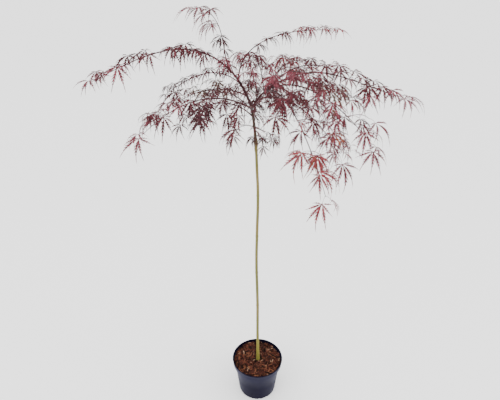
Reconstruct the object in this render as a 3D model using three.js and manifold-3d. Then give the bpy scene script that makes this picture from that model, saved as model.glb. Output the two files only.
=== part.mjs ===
// Weeping laceleaf maple, grafted on a clear stem, in a round nursery pot.
// Millimetres, +Z up, origin at the middle of the pot's flat underside.
// Azimuths are in degrees, counter-clockwise from +X, seen from above. Pitches are above the horizon.
import * as THREE from 'three';
import { mergeVertices } from 'three/addons/utils/BufferGeometryUtils.js';
import Module from 'manifold-3d';

const wasm = await Module();
wasm.setup();

// Driving sizes
const CLEAR = 0.3; // between solids that touch
const POT = {
  height: 168,
  rim: 105, // outer radii
  collarFoot: 102,
  shoulder: 94,
  foot: 77,
  collar: 25, // height of the collar under the rim
  step: 3, // height of the ledge where the collar steps in
  wall: 2,
  lip: 3.2, // thickness of the rim's edge
  floor: 6.5,
  edge: 4, // radius of the bottom edge
  drains: 8, // grooves under the edge of the floor
  drainWidth: 13,
  drainDepth: 5,
  drainLength: 24,
  segments: 40,
};
const MIX = { edge: 153.5, middle: 156, top: 97, rings: 4 }; // heights of the surface, and its radius
const STEM = {
  foot: 5.8, // radii
  flare: 9.2,
  flareHeight: 22, // the flare falls to a third over this height
  belowGraft: 4.8,
  aboveGraft: 4.7,
  graft: 6.8,
  graftHeight: 1136,
  graftSpread: 15,
  fork: 4.2,
  sides: 12,
};
const STEM_ROUTE = [
  [2, 0, MIX.middle + CLEAR], [2, 0, 176], [-0.5, 3, 322], [-2, 3, 480], [-7, -2, 640],
  [-6.5, -4, 780], [-4, -3, 924], [-8, 0, 1037], [-13, 2, 1136], [-21, 1, 1213], [-30, 0, 1262],
];
// Heights of the stem's rings: close together in the root flare and at the graft
const STEM_RINGS = [
  0, 4, 10, 18, 32, 70, 130, 200, 280, 360, 440, 520, 600, 680, 760, 830, 890, 930, 950, 962, 972,
  982, 994, 1008, 1030, 1055, 1080, 1100,
].map((height) => height + MIX.middle + CLEAR);
const LIMB = { sides: 8, step: 24 }; // limbs and shoots are cut into lengths of about one step
const SHOOT = { sides: 4, step: 46 };
const TWIG = {
  sides: 3,
  base: 1.3,
  tip: 0.7,
  spread: [34, 62], // degrees away from the shoot it grows on
  lift: [4, 26],
  sag: 0.16, // how far the tip falls, as a share of the length
  arrive: -42,
  last: 0.82, // share of the shoot's length at which the last one grows
  shrink: 0.55, // length of the last one, as a share of the first
  room: 5, // least distance to another shoot
};
const HANDLE = 0.4; // how far an arc keeps its first and last direction, as a share of its chord
const LEAF = {
  lobe: 80, // length of the middle lobe
  petiole: 27,
  lobes: [-74, -36, 0, 36, 74], // azimuth of each lobe from the leaf's own heading
  share: [0.66, 0.9, 1, 0.9, 0.66], // of the middle lobe's length
  notch: 0.2, // how far out the gap between two lobes begins, as a share of the lobe
  neck: 2.4, // half width of the leaf where it joins its stalk
  thick: 2.2,
  size: [0.72, 1.08],
  spread: [26, 84], // degrees away from the shoot it grows on
  lift: [0, 38], // pitch of the stalk
  droop: [38, 72], // how far the flat of the leaf hangs
  sag: 0.22, // how far the lobes fall away from the flat of the leaf
  turn: [-14, 14], // of the lobes about the stalk's end
  endSpread: [40, 66], // the same for the pair at a shoot's tip, which follows the shoot
  endLift: [-4, 14],
  endDroop: [8, 32],
  follow: 0.65, // share of the shoot's own pitch that the pair at its tip takes up
  spacing: 42, // between the pairs on a twig
  room: 7, // least distance of its ribs to another mass
  ownRoom: 0.8, // and to its own mass
};

// Limbs and arms: each springs from a limb at a share of its length. bare is the length before the
// first leaves, and an entry without pairs is a bare limb. pairs are leaf pairs on the main shoot,
// sides are side twigs, twig is the first twig's length, swing bends it sideways, leaf scales its
// leaves, and tint names their colour.
const ARMS = [
  { name: 'leader', on: 'stem', at: 1, azimuth: 166, reach: 74, climb: 107, leave: 64, arrive: 40,
    thick: [4.2, 2.9] },
  { name: 'right_bough', on: 'stem', at: 0.985, azimuth: 343, reach: 76, climb: 82, leave: 60, arrive: 30,
    thick: [3.7, 2.7] },
  { name: 'left_arm', on: 'leader', at: 1, azimuth: 191, reach: 396, climb: -26, leave: 44, arrive: -25,
    thick: [2.8, 0.8], bare: 32, pairs: 12, swing: 6 },
  { name: 'top_shoot', on: 'leader', at: 0.95, azimuth: 170, reach: 76, climb: 168, leave: 74, arrive: 20,
    thick: [2, 0.8], bare: 14, pairs: 5, leaf: 0.95 },
  { name: 'right_upper_arm', on: 'leader', at: 0.6, azimuth: 10, reach: 287, climb: 138, leave: 90,
    arrive: -4, thick: [1.9, 0.8], bare: 34, pairs: 8, leaf: 0.75 },
  { name: 'mid_left_arm', on: 'leader', at: 0.5, azimuth: 160, reach: 262, climb: -52, leave: 34,
    arrive: -34, thick: [1.9, 0.8], bare: 26, pairs: 6, swing: -8, leaf: 0.7 },
  { name: 'lower_left_arm', on: 'stem', at: 0.985, azimuth: 202, reach: 340, climb: -38, leave: 34,
    arrive: -38, thick: [2.8, 0.8], bare: 44, pairs: 9, sides: 4, twig: 110, swing: -5 },
  { name: 'left_middle_arm', on: 'leader', at: 0.2, azimuth: 186, reach: 232, climb: -26, leave: 28,
    arrive: -34, thick: [2.1, 0.8], bare: 24, pairs: 7, sides: 2, twig: 80, swing: 6 },
  { name: 'right_arm', on: 'right_bough', at: 1, azimuth: 345, reach: 358, climb: -14, leave: 34,
    arrive: -12, thick: [2.6, 0.8], bare: 44, pairs: 10, sides: 3, twig: 100, swing: 5, tint: 'red' },
  { name: 'top_right_arm', on: 'right_bough', at: 0.9, azimuth: 8, reach: 226, climb: 18, leave: 52,
    arrive: -36, thick: [2.1, 0.8], bare: 40, pairs: 6, sides: 3, twig: 90, swing: 8, tint: 'red' },
  { name: 'top_back_arm', on: 'right_bough', at: 0.72, azimuth: 54, reach: 190, climb: 48, leave: 58,
    arrive: -24, thick: [2, 0.8], bare: 40, pairs: 6, sides: 2, twig: 80, swing: -10, tint: 'red' },
  { name: 'top_front_arm', on: 'right_bough', at: 0.8, azimuth: 312, reach: 170, climb: 46, leave: 58,
    arrive: -30, thick: [2, 0.8], bare: 36, pairs: 5, sides: 2, twig: 70, swing: 10, tint: 'red' },
  { name: 'top_left_arm', on: 'right_bough', at: 0.6, azimuth: 118, reach: 74, climb: 92, leave: 76,
    arrive: 0, thick: [1.8, 0.8], bare: 22, pairs: 5, sides: 1, twig: 60, tint: 'red' },
  { name: 'lower_right_arm', on: 'right_bough', at: 0.62, azimuth: 327, reach: 348, climb: -98, leave: 34,
    arrive: -46, thick: [2.5, 0.8], bare: 70, pairs: 9, sides: 4, twig: 110, swing: -6 },
  { name: 'hanging_arm', on: 'right_bough', at: 0.5, azimuth: 298, reach: 350, climb: -190, leave: 36,
    arrive: -60, thick: [2.5, 0.8], bare: 90, pairs: 6, sides: 3, twig: 90, swing: -5, leaf: 1.1,
    tint: 'rust' },
  { name: 'low_right_arm', on: 'right_bough', at: 0.3, azimuth: 320, reach: 300, climb: -106, leave: 28,
    arrive: -56, thick: [2.1, 0.8], bare: 60, pairs: 8, sides: 3, twig: 90, swing: -8, tint: 'rust' },
  { name: 'front_arm', on: 'stem', at: 0.972, azimuth: 264, reach: 215, climb: 34, leave: 48, arrive: -38,
    thick: [2.2, 0.8], bare: 64, pairs: 6, sides: 2, twig: 70, swing: -8 },
  { name: 'front_left_arm', on: 'stem', at: 0.96, azimuth: 222, reach: 262, climb: 42, leave: 44,
    arrive: -34, thick: [2.3, 0.8], bare: 70, pairs: 7, sides: 2, twig: 80, swing: 8, tint: 'bronze' },
  { name: 'back_left_arm', on: 'stem', at: 0.98, azimuth: 122, reach: 340, climb: -116, leave: 28,
    arrive: -60, thick: [2.4, 0.8], bare: 80, pairs: 9, sides: 5, twig: 115, swing: 8 },
  { name: 'back_arm', on: 'stem', at: 0.965, azimuth: 86, reach: 400, climb: -120, leave: 40, arrive: -60,
    thick: [2.6, 0.8], bare: 90, pairs: 9, sides: 5, twig: 125, swing: -8 },
  { name: 'back_right_arm', on: 'right_bough', at: 0.34, azimuth: 40, reach: 390, climb: -125, leave: 32,
    arrive: -58, thick: [2.5, 0.8], bare: 80, pairs: 9, sides: 5, twig: 125, swing: 8 },
  { name: 'stem_shoot_left', on: 'stem', at: 0.93, azimuth: 190, reach: 62, climb: -10, leave: 30,
    arrive: -50, thick: [1.4, 0.8], bare: 0, pairs: 2 },
  { name: 'stem_shoot_right', on: 'stem', at: 0.905, azimuth: 312, reach: 46, climb: -12, leave: 20,
    arrive: -50, thick: [1.4, 0.8], bare: 0, pairs: 2, leaf: 0.8 },
  { name: 'inner_left_shoot', on: 'leader', at: 0.72, azimuth: 222, reach: 62, climb: 66, leave: 58,
    arrive: 0, thick: [1.4, 0.8], bare: 0, pairs: 3, leaf: 0.72 },
  { name: 'inner_right_shoot', on: 'right_bough', at: 0.36, azimuth: 208, reach: 46, climb: 84, leave: 74,
    arrive: 10, thick: [1.4, 0.8], bare: 0, pairs: 4, leaf: 0.72, tint: 'red' },
];

// Looks: colour and roughness. A mass takes the tint its arm names, or burgundy.
const LOOKS = {
  blackPlastic: { color: 0x2a2b33, roughness: 0.45 },
  barkMulch: { color: 0x4a2418, roughness: 0.95 },
  stemBark: { color: 0x8b8443, roughness: 0.75 },
  shootBark: { color: 0x42181b, roughness: 0.6 },
  burgundy: { color: 0x5c2129, roughness: 0.6 },
  red: { color: 0x8e3340, roughness: 0.6 },
  rust: { color: 0xa24a35, roughness: 0.6 },
  bronze: { color: 0x6b4430, roughness: 0.6 },
};

// A repeatable stream of numbers from 0 to 1
function dice(seed) {
  let state = seed * 7919 + 104729;
  return () => {
    state = (state * 16807) % 2147483647;
    return state / 2147483647;
  };
}

const radians = THREE.MathUtils.degToRad;
const degrees = THREE.MathUtils.radToDeg;
const mix = (a, b, t) => a + (b - a) * t;
const within = ([least, most], share) => mix(least, most, share);

function heading(azimuth, pitch) {
  const a = radians(azimuth);
  const p = radians(pitch);
  return new THREE.Vector3(Math.cos(p) * Math.cos(a), Math.cos(p) * Math.sin(a), Math.sin(p));
}

// Solids
function solidOf(geometry) {
  const plain = geometry.clone();
  plain.deleteAttribute('normal');
  plain.deleteAttribute('uv');
  const merged = mergeVertices(plain, 1e-4);
  return new wasm.Manifold(new wasm.Mesh({
    numProp: 3,
    vertProperties: new Float32Array(merged.attributes.position.array),
    triVerts: new Uint32Array(merged.index.array),
  }));
}

function geometryOf(solid) {
  const mesh = solid.getMesh();
  const corners = new Float32Array(mesh.numVert * 3);
  for (let i = 0; i < mesh.numVert; i++) {
    corners.set(mesh.vertProperties.subarray(i * mesh.numProp, i * mesh.numProp + 3), i * 3);
  }
  const geometry = new THREE.BufferGeometry();
  geometry.setAttribute('position', new THREE.BufferAttribute(corners, 3));
  geometry.setIndex(new THREE.BufferAttribute(new Uint32Array(mesh.triVerts), 1));
  geometry.computeVertexNormals();
  return geometry;
}

// The largest connected piece, so that loose scraps are dropped
function largest(solid) {
  const pieces = solid.decompose();
  return pieces.reduce((best, piece) => (piece.volume() > best.volume() ? piece : best), pieces[0]);
}

// A rod along a curve: a cylinder whose rings are carried to stations on the curve and given their
// radius. side is a direction that is roughly square to the curve everywhere.
function rod(curve, side, radiusAt, sides, stations) {
  const shape = new THREE.CylinderGeometry(1, 1, 1, sides, stations.length - 1);
  const corner = shape.attributes.position;
  for (let i = 0; i < corner.count; i++) {
    const t = stations[Math.round((corner.getY(i) + 0.5) * (stations.length - 1))];
    const tangent = curve.getTangentAt(t);
    const across = side.clone().addScaledVector(tangent, -side.dot(tangent)).normalize();
    const other = tangent.clone().cross(across);
    const place = curve.getPointAt(t)
      .addScaledVector(other, corner.getX(i) * radiusAt(t))
      .addScaledVector(across, corner.getZ(i) * radiusAt(t));
    corner.setXYZ(i, place.x, place.y, place.z);
  }
  return solidOf(shape);
}

// Shares of a curve's length from one to another, about one step apart
function stationsOf(curve, from, to, step) {
  const count = Math.max(2, Math.ceil((curve.getLength() * (to - from)) / step));
  return Array.from({ length: count + 1 }, (_, i) => mix(from, to, i / count));
}

// Shares of a shoot's length from first to its tip: one at each leaf pair, and more between pairs that
// are far apart
function pairStations(curve, first, pairs, step) {
  const between = Math.ceil((curve.getLength() * (1 - first)) / (pairs * step));
  const count = Math.max(2, pairs * between);
  return Array.from({ length: count + 1 }, (_, i) => mix(first, 1, i / count));
}

// A limb's path: an arc that leaves at one pitch and arrives at its tip at another
function arc(start, { azimuth, reach, climb, leave, arrive, swing = 0 }) {
  const tip = start.clone().addScaledVector(heading(azimuth, 0), reach);
  tip.z += climb;
  const handle = HANDLE * Math.hypot(reach, climb);
  return new THREE.CubicBezierCurve3(
    start,
    start.clone().addScaledVector(heading(azimuth + swing, leave), handle),
    tip.clone().addScaledVector(heading(azimuth - swing, arrive), -handle),
    tip,
  );
}

// The pot
const LEDGE = POT.height - POT.collar - POT.step;
const wallAt = (z) => mix(POT.foot, POT.shoulder, z / LEDGE);
const latheOf = (profile, segments) => {
  const shape = new THREE.LatheGeometry(profile.map(([r, z]) => new THREE.Vector2(r, z)), segments);
  return shape.rotateX(Math.PI / 2);
};

function potSolid() {
  const { height, rim, collarFoot, shoulder, foot, step, wall, lip, floor, edge } = POT;
  const inRim = rim - lip;
  let solid = solidOf(latheOf([
    [0, 0], [foot - edge, 0], [foot - edge * 0.3, edge * 0.3], [wallAt(edge), edge],
    [shoulder, LEDGE], [collarFoot, LEDGE + step], [rim - 0.7, height - lip], [rim, height - lip / 2],
    [rim - 0.7, height], [inRim, height], [inRim, height - lip], [collarFoot - wall, LEDGE + step],
    [shoulder - wall, LEDGE], [wallAt(floor) - wall, floor], [0, floor],
  ], POT.segments));
  for (let i = 0; i < POT.drains; i++) {
    const drain = new THREE.BoxGeometry(POT.drainLength, POT.drainWidth, POT.drainDepth * 2);
    drain.translate(foot, 0, 0);
    drain.rotateZ(((i - 0.5) * 2 * Math.PI) / POT.drains);
    solid = solid.subtract(solidOf(drain));
  }
  return solid;
}

// The potting mix: it fills the pot up to a low dome of mulch
function mixSolid() {
  const inside = (z) => wallAt(z) - POT.wall - CLEAR * 1.2;
  const floor = POT.floor + CLEAR;
  const top = [];
  for (let i = 1; i <= MIX.rings; i++) {
    const t = i / MIX.rings;
    top.push([MIX.top * (1 - t), mix(MIX.edge, MIX.middle, Math.sin((t * Math.PI) / 2))]);
  }
  return solidOf(latheOf([
    [0, floor], [inside(floor), floor], [inside(LEDGE), LEDGE],
    [MIX.top, LEDGE + POT.step * 1.6], [MIX.top, MIX.edge], ...top,
  ], POT.segments / 2));
}

// The stem: root flare, slow taper, the swelling of the graft, then the grafted wood up to the fork
const stemCurve = new THREE.CatmullRomCurve3(
  STEM_ROUTE.map((p) => new THREE.Vector3(...p)), false, 'catmullrom', 0.5,
);
const stemLength = stemCurve.getLength();
function stemRadius(t) {
  const up = t * stemLength;
  const graft = STEM.graftHeight - MIX.middle - CLEAR;
  const taper = up < graft
    ? mix(STEM.foot, STEM.belowGraft, up / graft)
    : mix(STEM.aboveGraft, STEM.fork, (up - graft) / (stemLength - graft));
  const flare = (STEM.flare - STEM.foot) * Math.exp(-up / STEM.flareHeight);
  const swelling = (STEM.graft - STEM.belowGraft) * Math.exp(-(((up - graft) / STEM.graftSpread) ** 2));
  return taper + flare + swelling;
}
const stemStations = STEM_RINGS.map((z) => (z - STEM_RINGS[0]) / stemLength)
  .filter((t) => t < 1).concat(1);

// Every limb's path, a direction square to it, its radius along it, and the share of it that is bare
const limbs = new Map();
limbs.set('stem', { curve: stemCurve, side: heading(90, 0), radiusAt: stemRadius, bare: 1 });
for (const arm of ARMS) {
  const curve = arc(limbs.get(arm.on).curve.getPointAt(arm.at), arm);
  const [base, tip] = arm.thick;
  limbs.set(arm.name, {
    curve,
    side: heading(arm.azimuth + 90, 0),
    radiusAt: (t) => mix(base, tip, t),
    bare: arm.pairs ? arm.bare / curve.getLength() : 1,
  });
}

// A limb's bare wood. A sleeve is the same wood grown by the clearance, and a little longer.
function wood(name, grow = 0) {
  const { curve, side, radiusAt, bare } = limbs.get(name);
  const stations = name === 'stem' ? stemStations : stationsOf(curve, 0, bare, LIMB.step);
  const sides = name === 'stem' ? STEM.sides : LIMB.sides;
  let solid = rod(curve, side, (t) => radiusAt(t) + grow, sides, stations);
  if (grow > 0) {
    const last = stations[stations.length - 1];
    const end = curve.getPointAt(last);
    const beyond = new THREE.LineCurve3(end, end.clone().addScaledVector(curve.getTangentAt(last), grow));
    const cap = rod(beyond, side, () => radiusAt(last) + grow, sides, [0, 1]);
    solid = wasm.Manifold.union([solid, cap]);
  }
  return solid;
}

// Where bare wood, shoots, twigs and leaves are: straight stretches with the name of their mass
const taken = [];
function take(owner, points, radius) {
  for (let i = 1; i < points.length; i++) {
    taken.push({ owner, a: points[i - 1], b: points[i], radius });
  }
}

// Least distance between two straight stretches
function apart(p, q, r, s) {
  const d1 = q.clone().sub(p);
  const d2 = s.clone().sub(r);
  const w = p.clone().sub(r);
  const a = d1.dot(d1);
  const e = d2.dot(d2);
  const b = d1.dot(d2);
  const c = d1.dot(w);
  const f = d2.dot(w);
  const spread = a * e - b * b;
  let along = spread > 1e-9 ? THREE.MathUtils.clamp((b * f - c * e) / spread, 0, 1) : 0;
  let across = (b * along + f) / e;
  if (across < 0 || across > 1) {
    across = THREE.MathUtils.clamp(across, 0, 1);
    along = THREE.MathUtils.clamp((b * across - c) / a, 0, 1);
  }
  return w.addScaledVector(d1, along).addScaledVector(d2, -across).length();
}

// True if no rib comes too near to anything, apart from the shoot of its own mass that it grows on
function fits(owner, ribs, room, ownRoom, base) {
  const dot = base.clone().add(new THREE.Vector3(0, 0, 0.01));
  return taken.every(({ owner: other, a, b, radius }) => {
    const own = other === owner;
    const least = radius + (own ? ownRoom : room);
    if (own && apart(base, dot, a, b) < radius + 1) {
      return true;
    }
    return ribs.every(([p, q]) => apart(p, q, a, b) > least);
  });
}

// A leaf: a star of lobes round the end of its stalk, as a thin faceted solid. half is the step from its
// middle to its upper face.
function leafSolid({ root, centre, half, tips, notches, necks }) {
  const outline = [root, necks[0]];
  tips.forEach((tip, i) => {
    outline.push(tip);
    if (i < notches.length) {
      outline.push(notches[i]);
    }
  });
  outline.push(necks[1]);
  const corners = [...outline, centre.clone().add(half), centre.clone().sub(half)];
  const n = outline.length;
  const faces = [];
  for (let i = 0; i < n; i++) {
    const j = (i + 1) % n;
    faces.push(n, i, j, n + 1, j, i);
  }
  return new wasm.Manifold(new wasm.Mesh({
    numProp: 3,
    vertProperties: new Float32Array(corners.flatMap((p) => [p.x, p.y, p.z])),
    triVerts: new Uint32Array(faces),
  }));
}

// One leaf's shape: its stalk leaves the shoot, and its lobes hang from the stalk's end
function leafShape(node, side, scale, roll) {
  const { base, along, radius, last } = node;
  const spread = within(last ? LEAF.endSpread : LEAF.spread, roll());
  const pitch = degrees(Math.asin(along.z));
  const azimuth = degrees(Math.atan2(along.y, along.x)) + side * spread;
  const follow = LEAF.follow * Math.min(pitch, 0);
  const lift = last ? within(LEAF.endLift, roll()) + follow : within(LEAF.lift, roll());
  const droop = last ? within(LEAF.endDroop, roll()) - follow : within(LEAF.droop, roll());
  const size = scale * within(LEAF.size, roll());
  const turned = azimuth + within(LEAF.turn, roll());
  const stalk = heading(azimuth, lift);
  const centre = base.clone().addScaledVector(stalk, LEAF.petiole * size);
  const ahead = heading(turned, -droop);
  const aside = heading(turned + 90, 0);
  const out = (angle, share) => {
    const way = ahead.clone().multiplyScalar(Math.cos(radians(angle)))
      .addScaledVector(aside, Math.sin(radians(angle)));
    way.z -= LEAF.sag;
    return centre.clone().addScaledVector(way.normalize(), share * LEAF.lobe * size);
  };
  return {
    root: base.clone().addScaledVector(stalk, -radius * 0.5),
    stalkStart: base.clone().lerp(centre, 0.4),
    centre,
    half: heading(turned, 90 - droop / 2).multiplyScalar(LEAF.thick / 2),
    tips: LEAF.lobes.map((angle, i) => out(angle, LEAF.share[i])),
    notches: LEAF.lobes.slice(1).map((angle, i) =>
      out((angle + LEAF.lobes[i]) / 2, LEAF.notch * LEAF.share[i])),
    necks: [-90, 90].map((angle) =>
      centre.clone().addScaledVector(heading(azimuth + angle, 0), LEAF.neck)
        .addScaledVector(stalk, -LEAF.neck)),
  };
}

// The shoots of a mass: the main one, then side twigs in turn on either side of it
function shootsOf(arm, roll) {
  const { curve, side, radiusAt, bare } = limbs.get(arm.name);
  const first = bare > 0 ? bare + CLEAR / curve.getLength() : 0;
  const shoots = [{
    curve, side, radiusAt, sides: SHOOT.sides, pairs: arm.pairs,
    stations: pairStations(curve, first, arm.pairs, SHOOT.step),
  }];
  const count = arm.sides ?? 0;
  for (let k = 0; k < count; k++) {
    const share = mix(first, TWIG.last, (k + 0.5) / count);
    const azimuth = arm.azimuth + (k % 2 ? 1 : -1) * within(TWIG.spread, roll());
    const long = arm.twig * mix(1, TWIG.shrink, k / count) * within([0.85, 1.1], roll());
    const path = arc(curve.getPointAt(share), {
      azimuth, reach: long, climb: -long * TWIG.sag, leave: within(TWIG.lift, roll()), arrive: TWIG.arrive,
    });
    const start = path.getPointAt(0);
    if (fits(arm.name, [[path.getPointAt(0.3), path.getPointAt(1)]], TWIG.room, TWIG.room, start)) {
      const pairs = Math.max(1, Math.round(long / LEAF.spacing));
      shoots.push({
        curve: path, side: heading(azimuth + 90, 0), radiusAt: (t) => mix(TWIG.base, TWIG.tip, t),
        sides: TWIG.sides, pairs, stations: pairStations(path, 0, pairs, SHOOT.step),
      });
    }
  }
  return shoots;
}

// The places of a shoot's leaf pairs, the last of them at its tip
function nodesOf({ curve, radiusAt, stations, pairs }) {
  return Array.from({ length: pairs }, (_, k) => {
    const t = Math.min(mix(stations[0], 1, (k + 1) / pairs), 0.995);
    return {
      base: curve.getPointAt(t), along: curve.getTangentAt(t), radius: radiusAt(t), last: k === pairs - 1,
    };
  });
}

// The leaves of a mass, as far as there is room for them
function leavesOf(arm, shoots, roll) {
  const leaves = [];
  for (const node of shoots.flatMap(nodesOf)) {
    for (const side of [-1, 1]) {
      const shape = leafShape(node, side, arm.leaf ?? 1, roll);
      const ribs = shape.tips.map((tip) => [shape.centre, tip]);
      ribs.push([shape.stalkStart, shape.centre]);
      if (fits(arm.name, ribs, LEAF.room, LEAF.ownRoom, node.base)) {
        leaves.push(leafSolid(shape));
        ribs.forEach((rib) => take(arm.name, rib, LEAF.thick / 4));
      }
    }
  }
  return leaves;
}

// The part
const tree = new THREE.Group();
function add(name, solid, look) {
  const material = new THREE.MeshStandardMaterial({ ...look, metalness: 0 });
  const mesh = new THREE.Mesh(geometryOf(solid), material);
  mesh.name = name;
  tree.add(mesh);
}

add('pot', potSolid(), LOOKS.blackPlastic);
add('potting_mix', mixSolid(), LOOKS.barkMulch);
add('stem', wood('stem'), LOOKS.stemBark);

// Limbs: each is cut back to clear the sleeves of those before it
const sleeves = [wood('stem', CLEAR)];
for (const arm of ARMS.filter(({ name }) => limbs.get(name).bare > 0)) {
  const { curve, bare, radiusAt } = limbs.get(arm.name);
  const solid = sleeves.reduce((rest, sleeve) => rest.subtract(sleeve), wood(arm.name));
  add(arm.pairs ? arm.name + '_bough' : arm.name, largest(solid), LOOKS.shootBark);
  take(arm.name, stationsOf(curve, 0, bare, LIMB.step).map((t) => curve.getPointAt(t)), radiusAt(0));
  sleeves.push(wood(arm.name, CLEAR));
}
take('stem', stemStations.map((t) => stemCurve.getPointAt(t)), STEM.foot);

// Masses: all the shoots first, then the leaves
const masses = ARMS.filter((arm) => arm.pairs).map((arm, i) => ({ arm, roll: dice(i + 1) }));
for (const mass of masses) {
  mass.main = limbs.get(mass.arm.name);
  const { curve, bare, radiusAt } = mass.main;
  const stations = pairStations(curve, bare, mass.arm.pairs, SHOOT.step);
  take(mass.arm.name, stations.map((t) => curve.getPointAt(t)), radiusAt(0.5));
}
for (const mass of masses) {
  mass.shoots = shootsOf(mass.arm, mass.roll);
  mass.shoots.slice(1).forEach(({ curve, stations }) =>
    take(mass.arm.name, stations.map((t) => curve.getPointAt(t)), TWIG.base));
}
for (const { arm, shoots, roll } of masses) {
  const rods = shoots.map(({ curve, side, radiusAt, sides, stations }) =>
    rod(curve, side, radiusAt, sides, stations));
  const whole = wasm.Manifold.union([...rods, ...leavesOf(arm, shoots, roll)]);
  const solid = sleeves.reduce((rest, sleeve) => rest.subtract(sleeve), whole);
  add(arm.name + '_leaves', largest(solid), LOOKS[arm.tint ?? 'burgundy']);
}

export default tree;
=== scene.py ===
"""A weeping laceleaf maple on a clear stem, in a round nursery pot: the looks that go on its solids.

Metres, +Z up, origin at the middle of the pot's flat underside. Azimuths are in degrees,
counter-clockwise from +X seen from above, and pitches are above the horizon.
"""

import functools
import math

import bmesh
import bpy
import numpy as np
from mathutils import Matrix, Vector


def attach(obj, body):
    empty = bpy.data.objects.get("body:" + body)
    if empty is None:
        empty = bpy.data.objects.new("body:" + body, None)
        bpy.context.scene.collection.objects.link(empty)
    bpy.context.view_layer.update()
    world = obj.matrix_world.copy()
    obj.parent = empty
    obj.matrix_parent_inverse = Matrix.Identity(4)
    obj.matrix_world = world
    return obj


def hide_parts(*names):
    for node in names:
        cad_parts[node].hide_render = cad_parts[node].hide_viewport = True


bl_info = {
    "name": "Potted weeping maple",
    "version": (1, 0, 0),
    "blender": (4, 5, 0),
    "location": "View3D > Sidebar > Maple",
    "description": "Builds a weeping laceleaf maple with its bark, shoots, leaves, mulch and pot",
    "category": "Add Mesh",
}

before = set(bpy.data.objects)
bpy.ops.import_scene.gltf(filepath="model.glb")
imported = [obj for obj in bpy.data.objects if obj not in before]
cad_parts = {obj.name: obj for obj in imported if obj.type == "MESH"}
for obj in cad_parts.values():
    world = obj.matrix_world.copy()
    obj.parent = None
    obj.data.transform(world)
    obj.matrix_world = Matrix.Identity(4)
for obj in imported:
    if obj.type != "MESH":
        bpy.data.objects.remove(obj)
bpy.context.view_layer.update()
MM = 0.001

# The stem, the mulch it stands on and the way wood grows, as in the solids
CLEAR = 0.3 * MM  # the gap between pieces that meet
MULCH_TOP = 156 * MM
MULCH_EDGE = 153.5 * MM
GROUND = MULCH_TOP + CLEAR
STEM_ROUTE = [
    (2, 0, 156.3), (2, 0, 176), (-0.5, 3, 322), (-2, 3, 480), (-7, -2, 640), (-6.5, -4, 780),
    (-4, -3, 924), (-8, 0, 1037), (-13, 2, 1136), (-21, 1, 1213), (-30, 0, 1262),
]
STEM = {
    "foot": 5.8 * MM,
    "flare": 9.2 * MM,
    "flare_height": 22 * MM,
    "below_graft": 4.8 * MM,
    "above_graft": 4.7 * MM,
    "graft": 6.8 * MM,
    "graft_height": 1136 * MM,
    "graft_spread": 15 * MM,
    "fork": 4.2 * MM,
}
GRAFT_UP = STEM["graft_height"] - GROUND  # the graft's height above the stem's foot
HANDLE = 0.4  # how far an arc keeps its first and last direction, as a share of its chord
LAST_NODE = 0.995  # the share of a shoot's length at which its last leaf pair stands

# The straight stretches that stand for the wood when twigs and leaves look for room
BARE_STEP = 24 * MM
SHOOT_STEP = 46 * MM
STEM_STOPS = 29
NO_MASS = -1  # the owner of the stem's stretches
TOUCH = 1 * MM  # wood of its own mass that is nearer than this to a leaf's foot is what it grows on
DOT = 0.01 * MM  # the stretch that stands for that foot

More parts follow.
